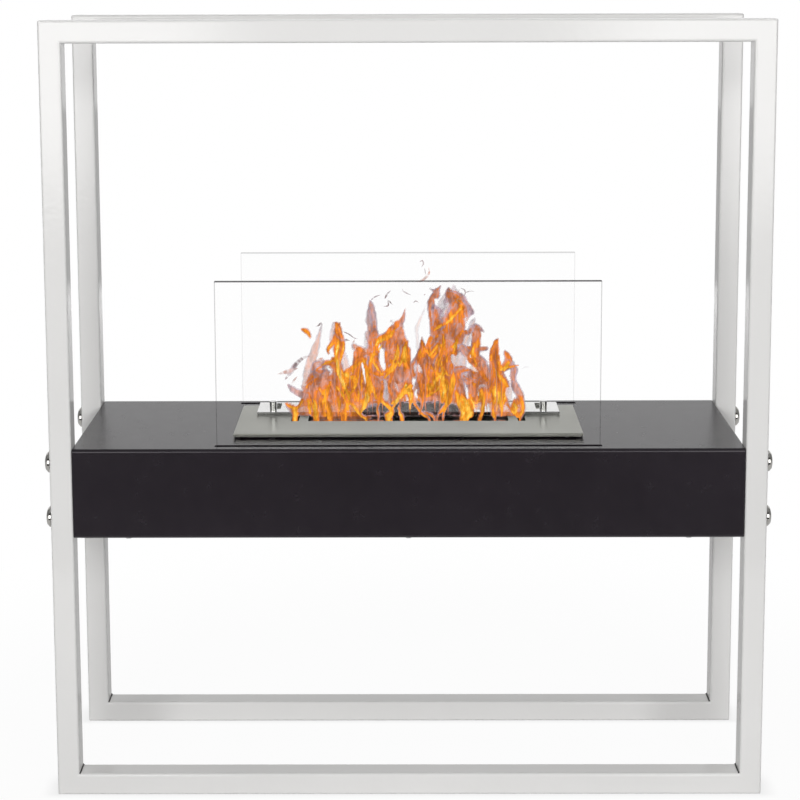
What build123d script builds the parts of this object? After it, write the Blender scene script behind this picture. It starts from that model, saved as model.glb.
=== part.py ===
from build123d import *
import os

# Bioethanol fireplace: two upright rectangular loops of square steel tube, a black sheet-steel
# box bolted between their posts, two glass panes standing in slots of the box top, and a burner
# with a sliding lid dropped into the box.
# Millimetres. Origin: bottom centre of the whole object. +X right, -Y front, +Z up.

# ---- tube frames -------------------------------------------------------------------------
frame_width = 800.0
frame_height = 880.0
overall_depth = 210.0
tube_size = 25.0
tube_wall = 1.5
tube_corner_radius = 3.0
frame_corner_radius = 2.5

# ---- black box between the frames --------------------------------------------------------
box_bottom_z = 302.0
box_height = 102.0
box_sheet = 1.5
box_edge_radius = 3.5
box_end_edge_radius = 1.2
box_flange_width = 24.0

# ---- side bolts through the posts --------------------------------------------------------
bolt_diameter = 8.0
bolt_fit_clearance = 0.25
bolt_thread_clearance = 0.08
bolt_head_diameter = 24.0
bolt_head_height = 6.0
bolt_head_rim = 2.2
bolt_crown_diameter = 11.0
bolt_shoulder_diameter = 19.0
bolt_shoulder_height = 4.8
bolt_socket_across_flats = 5.0
bolt_socket_depth = 3.0
bolt_end_overhang = 1.5
bolt_spacing_z = 63.0
upper_bolt_below_box_top = 17.0
bolt_plate_thickness = 3.0
bolt_plate_margin_z = 8.5
bolt_plate_corner_gap = 0.3
weld_nut_across_flats = 13.0
weld_nut_height = 6.5

# ---- bottom cover of the box -------------------------------------------------------------
cover_sheet = 1.2
cover_inset = 6.0
cover_corner_radius = 3.0
cover_screw_diameter = 4.0
cover_screw_length = 7.0
cover_screw_clearance = 0.2
cover_screw_head_across_flats = 7.0
cover_screw_head_height = 2.8
cover_screws_per_side = 3
cover_screw_end_distance = 60.0

# ---- glass panes and their seats ---------------------------------------------------------
glass_thickness = 5.0
front_glass_width = 429.0
rear_glass_width = 406.0
glass_above_box = 187.5
glass_edge_chamfer = 0.5
glass_slot_corner_radius = 1.9
glass_inset = 14.0
glass_side_clearance = 0.3
glass_seat_clearance = 0.3
glass_end_clearance = 2.2
liner_thickness = 1.0
channel_wall = 1.2
channel_depth = 18.0

# ---- burner cover plate ------------------------------------------------------------------
plate_length = 398.0
plate_width = 124.0
plate_sheet = 1.2
plate_above_box = 5.5
plate_rim_height = 3.6
plate_edge_radius = 1.0
plate_corner_notch = 2.4
flame_slot_length = 234.0
flame_slot_width = 25.0
flame_slot_centre_y = 3.5
slot_corner_radius = 1.2
end_window_length = 9.0
slot_bridge_width = 11.0

# ---- burner tank, tray and wool ----------------------------------------------------------
tank_length = 340.0
tank_width = 92.0
tank_depth_below_box_top = 62.0
tank_wall = 1.0
tank_corner_radius = 8.0
tank_hole_clearance = 3.0
tray_side_gap = 9.0
tray_bottom_gap = 8.0
tray_wall = 1.0
wool_height = 22.0
wool_side_clearance = 0.6
gasket_setback = 7.0
gasket_corner_radius = 4.0
lift_clearance = 0.3

# ---- sliding lid and knobs ---------------------------------------------------------------
lid_length = 358.0
lid_width = 45.0
lid_sheet = 1.2
lid_rim_height = 3.4
lid_edge_radius = 0.9
lid_corner_notch = 1.9
lid_slide_clearance = 0.3
lid_window_length = 10.0
lid_window_width = 27.0
lid_window_centre_x = 157.0
lid_window_from_rear = 5.0
knob_diameter = 8.6
knob_height = 12.0
knob_edge_chamfer = 0.8
knob_spacing = 320.0
knob_from_lid_front = 6.0
knob_screw_diameter = 3.0
knob_screw_length = 6.0
knob_screw_clearance = 0.1
knob_screw_head_diameter = 5.5
knob_screw_head_height = 1.5

# ---- derived places ----------------------------------------------------------------------
box_length = frame_width - 2 * tube_size
box_top_z = box_bottom_z + box_height
box_middle_z = box_bottom_z + box_height / 2
sheet_underside_z = box_top_z - box_sheet
post_centre_x = (frame_width - tube_size) / 2
frame_centre_y = (overall_depth - tube_size) / 2
upper_bolt_z = box_top_z - upper_bolt_below_box_top
lower_bolt_z = upper_bolt_z - bolt_spacing_z
bolt_middle_z = (upper_bolt_z + lower_bolt_z) / 2
bolt_plate_x = box_length / 2 - box_sheet - bolt_plate_thickness / 2
weld_nut_x = bolt_plate_x - bolt_plate_thickness / 2 - weld_nut_height / 2
glass_centre_y = overall_depth / 2 - glass_inset
slot_width = glass_thickness + 2 * (liner_thickness + glass_side_clearance)
channel_floor_z = sheet_underside_z - channel_depth + channel_wall
glass_bottom_z = channel_floor_z + liner_thickness + glass_seat_clearance
plate_top_z = box_top_z + plate_above_box
plate_underside_z = plate_top_z - plate_sheet
tank_bottom_z = box_top_z - tank_depth_below_box_top
tray_length = tank_length - 2 * tray_side_gap
tray_width = tank_width - 2 * tray_side_gap
tray_bottom_z = tank_bottom_z + tray_bottom_gap
tray_corner_radius = tank_corner_radius - tank_wall
lid_rear_y = plate_width / 2
lid_centre_y = lid_rear_y - lid_width / 2
lid_front_y = lid_rear_y - lid_width
lid_top_z = plate_top_z + lid_slide_clearance + lid_rim_height
lid_underside_z = lid_top_z - lid_sheet
knob_y = lid_front_y + knob_from_lid_front

over = 1.0    # how far a cutting tool runs past the face that it cuts


def block(length, width, bottom_z, top_z):
    """Upright block centred on the origin in plan, between two heights."""
    return Pos(0, 0, (bottom_z + top_z) / 2) * Box(length, width, top_z - bottom_z)


def rounded_block(length, width, radius, bottom_z, top_z):
    """Upright block with rounded vertical corners."""
    outline = Pos(0, 0, bottom_z) * RectangleRounded(length, width, radius)
    return extrude(outline, top_z - bottom_z)


def hexagon(across_flats):
    return RegularPolygon(across_flats / 2, 6, major_radius=False)


def cross_bar(diameter, x, y, z, length):
    """Round bar along X."""
    return Pos(x, y, z) * Rot(0, 90, 0) * Cylinder(diameter / 2, length)


def hole_tool(diameter, x, y, bottom_z, top_z):
    """Upright round cutter."""
    height = top_z - bottom_z
    return Pos(x, y, (bottom_z + top_z) / 2) * Cylinder(diameter / 2, height)


def save(shape, name):
    export_step(Compound(children=shape) if isinstance(shape, list) else shape, f"parts/{name}.step")


# ---- frames ------------------------------------------------------------------------------

def square_tube(length):
    """Hollow square tube along Z, centred on the origin."""
    inner_size = tube_size - 2 * tube_wall
    outline = RectangleRounded(tube_size, tube_size, tube_corner_radius) - Rectangle(inner_size, inner_size)
    return Pos(0, 0, -length / 2) * extrude(outline, length)


def mitre_wedge(length):
    """What mitres a tube whose outer side lies at X = -tube/2, seen along Y."""
    half = tube_size / 2
    points = [(-half, -length / 2), (half, -length / 2 + tube_size),
              (half, length / 2 - tube_size), (-half, length / 2)]
    face = make_face(Polyline(*points, close=True))
    return extrude(Plane.XZ * face, tube_size, both=True)


def mitred_tube(length):
    """Tube with both ends cut at 45 degrees, short side towards +X."""
    return square_tube(length) & mitre_wedge(length)


def frame_corners_ground(tube, frame_y):
    """The tube with the outer corners of its loop ground round."""
    outline = RectangleRounded(frame_width, frame_height, frame_corner_radius)
    return tube & Pos(0, frame_y, frame_height / 2) * extrude(Plane.XZ * outline, tube_size, both=True)


def post(side, frame_y):
    """Upright tube; its outer side faces the given side, with clearance holes for two bolts."""
    turn = 0 if side < 0 else 180
    tube = Pos(side * post_centre_x, frame_y, frame_height / 2) * Rot(0, 0, turn) * mitred_tube(frame_height)
    tube = frame_corners_ground(tube, frame_y)
    for z in (lower_bolt_z, upper_bolt_z):
        hole = bolt_diameter + 2 * bolt_fit_clearance
        tube -= cross_bar(hole, side * post_centre_x, frame_y, z, tube_size + 2 * over)
    return tube


def rail(at_top, frame_y):
    """Level tube at the foot or the head of a frame."""
    turn = 90 if at_top else -90
    z = frame_height - tube_size / 2 if at_top else tube_size / 2
    tube = Pos(0, frame_y, z) * Rot(0, turn, 0) * mitred_tube(frame_width)
    return frame_corners_ground(tube, frame_y)


# ---- box ---------------------------------------------------------------------------------

def glass_slot(pane_width, side):
    """Cutter for the slot that a pane stands in."""
    length = pane_width + 2 * glass_end_clearance
    tool = rounded_block(length, slot_width, glass_slot_corner_radius,
                         sheet_underside_z - over, box_top_z + over)
    return Pos(0, side * glass_centre_y, 0) * tool


def burner_hole():
    """Cutter for the hole that the burner tank hangs in."""
    length = tank_length + 2 * tank_hole_clearance
    width = tank_width + 2 * tank_hole_clearance
    radius = tank_corner_radius + tank_hole_clearance
    return rounded_block(length, width, radius, sheet_underside_z - over, box_top_z + over)


def cover_screw_places():
    """Centres of the screws under the box, along both long flanges."""
    span = box_length - 2 * cover_screw_end_distance
    step = span / (cover_screws_per_side - 1)
    row_y = overall_depth / 2 - (box_flange_width + cover_inset) / 2
    xs = [-span / 2 + step * index for index in range(cover_screws_per_side)]
    return [(x, side * row_y) for side in (-1, 1) for x in xs]


def box_outline(inset):
    """The box seen from its end, drawn in by the same amount all round."""
    outline = RectangleRounded(overall_depth - 2 * inset, box_height - 2 * inset, box_edge_radius - inset)
    return Plane.YZ * Pos(0, box_middle_z) * outline


def box_casing():
    """Folded sheet: top, front and rear walls and return flanges underneath, open at both ends."""
    shell = extrude(box_outline(0) - box_outline(box_sheet), box_length / 2 - box_sheet, both=True)
    shell -= block(box_length, overall_depth - 2 * box_flange_width,
                   box_bottom_z - over, box_bottom_z + box_sheet + over)
    shell -= burner_hole()
    shell -= glass_slot(front_glass_width, -1)
    shell -= glass_slot(rear_glass_width, 1)
    for x, y in cover_screw_places():
        hole = cover_screw_diameter + 2 * cover_screw_clearance
        shell -= hole_tool(hole, x, y, box_bottom_z - over, box_bottom_z + box_sheet + over)
    return shell


def box_end(side):
    """End plate welded to the folded sheet, its rim ground round, with clearance holes for four bolts."""
    inner_x = side * (box_length / 2 - box_sheet)
    plate = Pos(inner_x, 0, 0) * extrude(box_outline(0), side * box_sheet)
    rim = plate.faces().sort_by(Axis.X)[-1 if side > 0 else 0].edges()
    plate = fillet(rim, box_end_edge_radius)
    for y in (-frame_centre_y, frame_centre_y):
        for z in (lower_bolt_z, upper_bolt_z):
            hole = bolt_diameter + 2 * bolt_fit_clearance
            plate -= cross_bar(hole, side * box_length / 2, y, z, 2 * (box_sheet + over))
    return plate


def bottom_cover():
    """Plate that closes the box from below."""
    plate = rounded_block(box_length - 2 * cover_inset, overall_depth - 2 * cover_inset,
                          cover_corner_radius, box_bottom_z - cover_sheet, box_bottom_z)
    for x, y in cover_screw_places():
        hole = cover_screw_diameter + 2 * cover_screw_clearance
        plate -= hole_tool(hole, x, y, box_bottom_z - cover_sheet - over, box_bottom_z + over)
    return plate


def cover_screw():
    """Hexagon-head screw pointing up; the underside of its head is at the origin."""
    shank = hole_tool(cover_screw_diameter, 0, 0, 0, cover_screw_length)
    return extrude(hexagon(cover_screw_head_across_flats), -cover_screw_head_height) + shank


def cover_screws():
    under_cover_z = box_bottom_z - cover_sheet
    return [Pos(x, y, under_cover_z) * cover_screw() for x, y in cover_screw_places()]


def bolt_plate(side):
    """Stiffener inside an end of the box, which the weld nuts sit on."""
    height = bolt_spacing_z + 2 * bolt_plate_margin_z
    width = overall_depth - 2 * (box_edge_radius + bolt_plate_corner_gap)
    plate = Pos(side * bolt_plate_x, 0, bolt_middle_z) * Box(bolt_plate_thickness, width, height)
    for y in (-frame_centre_y, frame_centre_y):
        for z in (lower_bolt_z, upper_bolt_z):
            hole = bolt_diameter + 2 * bolt_fit_clearance
            plate -= cross_bar(hole, side * bolt_plate_x, y, z, bolt_plate_thickness + 2 * over)
    return plate


def weld_nut(side, y, z):
    """Hexagon nut with its axis along X."""
    nut = extrude(hexagon(weld_nut_across_flats), weld_nut_height / 2, both=True)
    nut -= Cylinder(bolt_diameter / 2 + bolt_thread_clearance, weld_nut_height + 2 * over)
    return Pos(side * weld_nut_x, y, z) * Rot(0, 90, 0) * nut


def side_bolt(side, y, z):
    """Crowned-head bolt: the head bears on the outside of a post, the shank ends in its weld nut."""
    rim_radius = bolt_head_diameter / 2
    crown = [(rim_radius, 0), (rim_radius, bolt_head_rim), (bolt_shoulder_diameter / 2, bolt_shoulder_height),
             (bolt_crown_diameter / 2, bolt_head_height), (0, bolt_head_height)]
    head = revolve(Plane.XZ * make_face(Polyline((0, 0), *crown, close=True)), Axis.Z)
    socket = extrude(hexagon(bolt_socket_across_flats), bolt_socket_depth + over)
    head -= Pos(0, 0, bolt_head_height - bolt_socket_depth) * socket
    shank_end_x = weld_nut_x - weld_nut_height / 2 - bolt_end_overhang
    shank_length = frame_width / 2 - shank_end_x
    shank = Pos(0, 0, -shank_length / 2) * Cylinder(bolt_diameter / 2, shank_length)
    return Pos(side * frame_width / 2, y, z) * Rot(0, side * 90, 0) * (head + shank)


def four_corners(maker, side):
    """One copy of a fastener at each bolt hole on one side."""
    return [maker(side, y, z) for y in (-frame_centre_y, frame_centre_y) for z in (lower_bolt_z, upper_bolt_z)]


# ---- glass -------------------------------------------------------------------------------

def glass_channel(pane_width, side):
    """Folded U channel under the box top, closed at its ends."""
    length = pane_width + 2 * glass_end_clearance
    top_z = sheet_underside_z
    outer = block(length + 2 * channel_wall, slot_width + 2 * channel_wall, top_z - channel_depth, top_z)
    groove = block(length, slot_width, channel_floor_z, top_z + over)
    return Pos(0, side * glass_centre_y, 0) * (outer - groove)


def glass_liner(pane_width, side):
    """Soft U strip between a pane and its channel."""
    inner_width = slot_width - 2 * liner_thickness
    outer = block(pane_width, slot_width, channel_floor_z, sheet_underside_z)
    groove = block(pane_width + 2 * over, inner_width, channel_floor_z + liner_thickness, sheet_underside_z + over)
    return Pos(0, side * glass_centre_y, 0) * (outer - groove)


def glass_pane(pane_width, side):
    """Clear pane with ground edges."""
    pane = block(pane_width, glass_thickness, glass_bottom_z, box_top_z + glass_above_box)
    pane = chamfer(pane.edges(), glass_edge_chamfer)
    return Pos(0, side * glass_centre_y, 0) * pane


# ---- burner ------------------------------------------------------------------------------

def folded_pan(length, width, sheet, rim_height, edge_radius, notch, top_z):
    """Sheet with a rim folded down on all four sides and the corners left open."""
    outer = block(length, width, top_z - rim_height, top_z)
    outer = fillet(outer.faces().sort_by(Axis.Z)[-1].edges(), edge_radius)
    hollow = block(length - 2 * sheet, width - 2 * sheet, top_z - rim_height - over, top_z - sheet)
    pan = outer - hollow
    for x_side in (-1, 1):
        for y_side in (-1, 1):
            corner = block(2 * notch, 2 * notch, top_z - rim_height - over, top_z - sheet)
            pan -= Pos(x_side * length / 2, y_side * width / 2, 0) * corner
    return pan


def burner_cover_plate():
    """Brushed plate with the long flame slot and a small window past each bridge."""
    plate = folded_pan(plate_length, plate_width, plate_sheet, plate_rim_height,
                       plate_edge_radius, plate_corner_notch, plate_top_z)
    window_x = flame_slot_length / 2 + slot_bridge_width + end_window_length / 2
    openings = [(0, flame_slot_length), (-window_x, end_window_length), (window_x, end_window_length)]
    for x, length in openings:
        tool = rounded_block(length, flame_slot_width, slot_corner_radius,
                             plate_underside_z - over, plate_top_z + over)
        plate -= Pos(x, flame_slot_centre_y, 0) * tool
    return plate


def open_vessel(length, width, radius, wall, bottom_z):
    """Pressed vessel whose rim is welded to the underside of the cover plate."""
    outer = rounded_block(length, width, radius, bottom_z, plate_underside_z)
    hollow = rounded_block(length - 2 * wall, width - 2 * wall, radius - wall,
                           bottom_z + wall, plate_underside_z + over)
    return outer - hollow


def burner_tank():
    return open_vessel(tank_length, tank_width, tank_corner_radius, tank_wall, tank_bottom_z)


def fuel_tray():
    return open_vessel(tray_length, tray_width, tray_corner_radius, tray_wall, tray_bottom_z)


def fuel_wool():
    """Ceramic wool that soaks up the fuel in the tray."""
    inset = tray_wall + wool_side_clearance
    floor_z = tray_bottom_z + tray_wall
    return rounded_block(tray_length - 2 * inset, tray_width - 2 * inset,
                         tray_corner_radius - inset, floor_z, floor_z + wool_height)


def burner_gasket():
    """Heat-proof ring between the box top and the cover plate."""
    top_z = plate_underside_z - lift_clearance
    ring = rounded_block(plate_length - 2 * gasket_setback, plate_width - 2 * gasket_setback,
                         gasket_corner_radius, box_top_z, top_z)
    inner_length = tank_length + 2 * tank_hole_clearance
    inner_width = tank_width + 2 * tank_hole_clearance
    return ring - rounded_block(inner_length, inner_width, tank_corner_radius + tank_hole_clearance,
                                box_top_z - over, top_z + over)


# ---- lid ---------------------------------------------------------------------------------

def sliding_lid():
    """Mirror-polished shutter that slides forward over the flame slot."""
    lid = folded_pan(lid_length, lid_width, lid_sheet, lid_rim_height, lid_edge_radius,
                     lid_corner_notch, lid_top_z)
    window = rounded_block(lid_window_length, lid_window_width, slot_corner_radius,
                           lid_underside_z - over, lid_top_z + over)
    window_y = lid_width / 2 - lid_window_from_rear - lid_window_width / 2
    for side in (-1, 1):
        lid -= Pos(side * lid_window_centre_x, window_y, 0) * window
        hole = knob_screw_diameter + 2 * knob_screw_clearance
        lid -= hole_tool(hole, side * knob_spacing / 2, knob_y - lid_centre_y,
                         lid_underside_z - over, lid_top_z + over)
    return Pos(0, lid_centre_y, 0) * lid


def lid_knob(side):
    """Turned knob standing on the lid, tapped from below."""
    knob = hole_tool(knob_diameter, 0, 0, lid_top_z, lid_top_z + knob_height)
    knob = chamfer(knob.faces().sort_by(Axis.Z)[-1].edges(), knob_edge_chamfer)
    bore = knob_screw_diameter + 2 * knob_screw_clearance
    bore_top_z = lid_underside_z + knob_screw_length + knob_screw_clearance
    knob -= hole_tool(bore, 0, 0, lid_top_z - over, bore_top_z)
    return Pos(side * knob_spacing / 2, knob_y, 0) * knob


def knob_screw(side):
    """Flat-head screw from under the lid into a knob."""
    shank = hole_tool(knob_screw_diameter, 0, 0, lid_underside_z, lid_underside_z + knob_screw_length)
    head = hole_tool(knob_screw_head_diameter, 0, 0, lid_underside_z - knob_screw_head_height, lid_underside_z)
    return Pos(side * knob_spacing / 2, knob_y, 0) * (shank + head)


def build():
    os.makedirs("parts", exist_ok=True)
    for frame_name, y in (("front", -frame_centre_y), ("rear", frame_centre_y)):
        save(post(-1, y), f"{frame_name}_left_post")
        save(post(1, y), f"{frame_name}_right_post")
        save(rail(True, y), f"{frame_name}_top_rail")
        save(rail(False, y), f"{frame_name}_bottom_rail")
    for side_name, side in (("left", -1), ("right", 1)):
        save(box_end(side), f"{side_name}_box_end")
        save(bolt_plate(side), f"{side_name}_bolt_plate")
        save(four_corners(weld_nut, side), f"{side_name}_weld_nuts")
        save(four_corners(side_bolt, side), f"{side_name}_side_bolts")
        save(lid_knob(side), f"{side_name}_lid_knob")
    save(box_casing(), "box_casing")
    save(bottom_cover(), "bottom_cover")
    save(cover_screws(), "bottom_cover_screws")
    for pane_name, width, side in (("front", front_glass_width, -1), ("rear", rear_glass_width, 1)):
        save(glass_channel(width, side), f"{pane_name}_glass_channel")
        save(glass_liner(width, side), f"{pane_name}_glass_liner")
        save(glass_pane(width, side), f"{pane_name}_glass")
    save(burner_gasket(), "burner_gasket")
    save(burner_cover_plate(), "burner_cover_plate")
    save(burner_tank(), "burner_tank")
    save(fuel_tray(), "fuel_tray")
    save(fuel_wool(), "fuel_wool")
    save(sliding_lid(), "sliding_lid")
    save([knob_screw(-1), knob_screw(1)], "lid_knob_screws")


build()
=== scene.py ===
import bpy
import math
import random
import numpy as np
from mathutils import Matrix, Vector, noise

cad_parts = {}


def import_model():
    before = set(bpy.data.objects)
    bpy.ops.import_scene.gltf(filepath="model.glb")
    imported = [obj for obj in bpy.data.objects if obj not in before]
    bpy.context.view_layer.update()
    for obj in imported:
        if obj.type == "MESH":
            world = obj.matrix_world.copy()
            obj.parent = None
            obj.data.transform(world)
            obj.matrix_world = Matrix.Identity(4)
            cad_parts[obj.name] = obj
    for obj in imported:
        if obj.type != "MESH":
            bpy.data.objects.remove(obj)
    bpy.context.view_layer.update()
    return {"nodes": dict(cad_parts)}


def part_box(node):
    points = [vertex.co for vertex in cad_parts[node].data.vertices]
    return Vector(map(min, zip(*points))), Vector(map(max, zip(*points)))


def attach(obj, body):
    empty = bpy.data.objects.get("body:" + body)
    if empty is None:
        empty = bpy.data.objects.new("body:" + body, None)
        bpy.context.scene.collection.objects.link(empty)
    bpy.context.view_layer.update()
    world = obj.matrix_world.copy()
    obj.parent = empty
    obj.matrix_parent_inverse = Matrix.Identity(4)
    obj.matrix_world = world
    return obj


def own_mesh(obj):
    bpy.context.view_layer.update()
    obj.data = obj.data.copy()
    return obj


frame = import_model()
nodes = frame["nodes"]
scene = bpy.context.scene


# ---- node and object helpers -------------------------------------------------------------

def fill(tree, node, *values, **named):
    """Links each output socket to its input of the node and sets any other value on the input itself."""
    pairs = list(zip(node.inputs, values))
    pairs += [(node.inputs[key.replace("_", " ")], value) for key, value in named.items()]
    for socket, value in pairs:
        if isinstance(value, bpy.types.NodeSocket):
            tree.links.new(value, socket)
        else:
            socket.default_value = value
    return node


def add(tree, kind, *values, **named):
    return fill(tree, tree.nodes.new("ShaderNode" + kind), *values, **named)


def new_material(name):
    mat = bpy.data.materials.new(name)
    mat.use_nodes = True
    mat.node_tree.nodes.clear()
    return mat, mat.node_tree


def principled(tree, **sockets):
    add(tree, "OutputMaterial", Surface=add(tree, "BsdfPrincipled", **sockets).outputs[0])


def mix_shader(tree, share, first, second):
    """The first shader where the share is 0, the second where it is 1."""
    return add(tree, "MixShader", share, first.outputs[0], second.outputs[0])


def object_coords(tree, scale=(1, 1, 1)):
    coords = add(tree, "TexCoord").outputs["Object"]
    return add(tree, "Mapping", Vector=coords, Scale=scale).outputs["Vector"]


def noise_fac(tree, vector, scale, detail=2.0, roughness=0.5, distortion=0.0):
    return add(tree, "TexNoise", Vector=vector, Scale=scale, Detail=detail, Roughness=roughness,
               Distortion=distortion).outputs["Fac"]


def spread(tree, value, low, high, from_low=0.0, from_high=1.0, smooth=False):
    """Maps from_low..from_high to low..high and holds the ends."""
    node = tree.nodes.new("ShaderNodeMapRange")
    if smooth:
        node.interpolation_type = "SMOOTHSTEP"
    return fill(tree, node, Value=value, From_Min=from_low, From_Max=from_high, To_Min=low,
                To_Max=high).outputs["Result"]


def fade(tree, value, low, high, from_low, from_high):
    return spread(tree, value, low, high, from_low, from_high, smooth=True)


def ramp(tree, value, *stops):
    node = add(tree, "ValToRGB", Fac=value)
    while len(node.color_ramp.elements) < len(stops):
        node.color_ramp.elements.new(0.5)
    for element, (place, colour) in zip(node.color_ramp.elements, stops):
        element.position = place
        element.color = (*colour, 1)
    return node.outputs["Color"]


def tints(tree, value, dark, light, low=0.3, high=0.7):
    """Colour between two tints, for a noise that stays mostly between low and high."""
    return ramp(tree, value, (low, dark), (high, light))


def math_node(operation):
    """Function that adds a math node of this operation and returns its output."""
    def make(tree, *values):
        node = tree.nodes.new("ShaderNodeMath")
        node.operation = operation
        return fill(tree, node, *values).outputs["Value"]
    return make


plus, minus, times = math_node("ADD"), math_node("SUBTRACT"), math_node("MULTIPLY")
largest, smallest, absolute = math_node("MAXIMUM"), math_node("MINIMUM"), math_node("ABSOLUTE")


def bump(tree, height, strength, distance):
    return add(tree, "Bump", Height=height, Strength=strength, Distance=distance).outputs["Normal"]


def dress(mat, *names):
    """Gives the CAD nodes this material."""
    for name in names:
        mesh = nodes[name].data
        mesh.materials.clear()
        mesh.materials.append(mat)


def add_object(name, verts, faces, mat):
    mesh = bpy.data.meshes.new(name)
    mesh.from_pydata(verts, [], faces)
    mesh.materials.append(mat)
    obj = bpy.data.objects.new(name, mesh)
    scene.collection.objects.link(obj)
    return obj


# ---- materials ---------------------------------------------------------------------------

# A noise is given as scale per metre, detail and roughness; bump distances are in metres.

def mottled(name, colours, colour_noise, roughness, rough_noise, relief=None, **sockets):
    """Surface whose colour and roughness each follow a noise; relief: stretch, noise, strength, distance."""
    mat, tree = new_material(name)
    p = object_coords(tree)
    if relief:
        stretch, grain, strength, distance = relief
        height = noise_fac(tree, object_coords(tree, stretch), *grain)
        sockets["Normal"] = bump(tree, height, strength, distance)
    principled(tree, Base_Color=tints(tree, noise_fac(tree, p, *colour_noise), *colours),
               Roughness=spread(tree, noise_fac(tree, p, *rough_noise), *roughness), **sockets)
    return mat


def frame_lacquer():
    """Glossy silver-grey lacquer with a faint orange peel."""
    return mottled("frame_lacquer", ((0.705, 0.699, 0.689), (0.745, 0.739, 0.729)), (4, 3), (0.05, 0.11),
                   (38, 4, 0.6), ((1, 1, 1), (150, 2, 0.45), 0.30, 0.0003), IOR=1.52)


def black_coat():
    """Satin black powder coat with a fine grain."""
    return mottled("black_coat", ((0.0072, 0.0050, 0.0075), (0.0096, 0.0068, 0.0100)), (9, 3), (0.22, 0.30),
                   (60, 4, 0.6), ((1, 1, 1), (1500, 2, 0.6), 0.35, 0.00012), IOR=1.5,
                   Specular_Tint=(0.99, 0.96, 1.0, 1))


def plated_steel():
    return mottled("plated_steel", ((0.46, 0.47, 0.49), (0.60, 0.61, 0.61)), (160, 4, 0.6), (0.24, 0.42),
                   (90, 3), Metallic=1.0)


def polished(name, dark, light, rough_low, rough_high, scale):
    """Polished metal with faint hairlines along X and smudges."""
    return mottled(name, (dark, light), (scale, 4, 0.6), (rough_low, rough_high), (scale * 2.3, 3),
                   ((12, 900, 900), (1, 2), 0.05, 0.00005), Metallic=1.0)


def rubber(name, colour):
    return mottled(name, (tuple(c * 0.7 for c in colour), colour), (200, 3), (0.55, 0.8), (120, 3))


def burner_steel():
    """Steel that is brushed along X, with painted reflection that makes it a little darker towards the middle
    of the burner.
    """
    mat, tree = new_material("burner_steel")
    lines = noise_fac(tree, object_coords(tree, (5, 900, 900)), 1, 3, 0.7)
    cloud = noise_fac(tree, object_coords(tree), 22, 3)
    tone = plus(tree, times(tree, lines, 0.65), times(tree, cloud, 0.35))
    x = add(tree, "SeparateXYZ", object_coords(tree)).outputs["X"]
    # Painted reflection: the tone is lowered towards the middle of the burner, so the steel is darker there.
    tone = minus(tree, tone, fade(tree, absolute(tree, x), 0.20, 0.0, 0.03, 0.13))
    principled(tree, Metallic=1.0, Anisotropic=0.45,
               Base_Color=tints(tree, tone, (0.26, 0.26, 0.235), (0.40, 0.40, 0.362), 0.25, 0.75),
               Roughness=spread(tree, lines, 0.24, 0.40), Normal=bump(tree, lines, 0.18, 0.0001))
    return mat


def wool():
    mat, tree = new_material("fuel_wool")
    fibres = noise_fac(tree, object_coords(tree, (260, 260, 260)), 1, 6, 0.7, 2.5)
    principled(tree, Roughness=0.95, Base_Color=tints(tree, fibres, (0.34, 0.30, 0.26), (0.82, 0.80, 0.76)),
               Normal=bump(tree, fibres, 0.9, 0.002))
    return mat


# Where the painted dark grey of a pane's ground edges begins and is full, below its top and inside its ends;
# metres.
PAINTED_EDGE_TOP, PAINTED_EDGE_SIDE = (0.0012, 0.0008), (0.0007, 0.0003)


def clear_glass(name, pane, top_share, side_share):
    """Thin clear pane: see-through, a faint reflection, and ground edges in a painted dark grey that stands in
    for the reflection seen in them.
    """
    mat, tree = new_material(name)
    faint = times(tree, add(tree, "Fresnel", IOR=1.45).outputs["Fac"], 0.12)
    face = mix_shader(tree, faint, add(tree, "BsdfTransparent", Color=(1, 1, 1, 1)),
                      add(tree, "BsdfGlossy", Roughness=0.02))
    p = object_coords(tree)
    # Painted reflection: a dark grey laid on the ground edges of the pane.
    painted_edge_grey = tints(tree, noise_fac(tree, p, 300, 3), (0.060, 0.055, 0.060), (0.085, 0.078, 0.085))
    where = add(tree, "SeparateXYZ", p)
    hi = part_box(pane)[1]
    top = spread(tree, where.outputs["Z"], 0.0, top_share, *(hi[2] - d for d in PAINTED_EDGE_TOP))
    side = absolute(tree, where.outputs["X"])
    side = spread(tree, side, 0.0, side_share, *(hi[0] - d for d in PAINTED_EDGE_SIDE))
    pane_shader = mix_shader(tree, largest(tree, top, side), face, add(tree, "BsdfDiffuse", Color=painted_edge_grey))
    add(tree, "OutputMaterial", Surface=pane_shader.outputs[0])
    return mat


# Colours of the flame's heat, from dark smoke over mauve, salmon and orange to yellow.
HEAT_LOW, HEAT_HIGH = -0.3, 1.1
HEAT_COLOURS = ((0.00, (0.030, 0.020, 0.018)), (0.11, (0.22, 0.12, 0.12)), (0.22, (0.42, 0.31, 0.38)),
                (0.29, (0.52, 0.31, 0.31)), (0.36, (0.60, 0.29, 0.22)), (0.44, (0.62, 0.235, 0.135)),
                (0.52, (0.67, 0.20, 0.070)), (0.60, (0.76, 0.205, 0.032)), (0.70, (0.86, 0.28, 0.024)),
                (0.80, (0.92, 0.39, 0.032)), (0.90, (0.955, 0.54, 0.085)), (1.00, (1.0, 0.77, 0.27)))
# Dark folds, bright edges and the rim: how much they change the heat, and how wide they are.
FOLD_DEPTH, FOLD_WIDTH, EDGE_HEAT, EDGE_WIDTH, RIM_COOLING, RIM_WIDTH = 0.06, 0.026, 0.08, 0.022, 0.36, 0.30
CORE_HEAT, SMOKE_HEAT = 0.22, 0.03  # least heat of the body and of the rim


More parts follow.
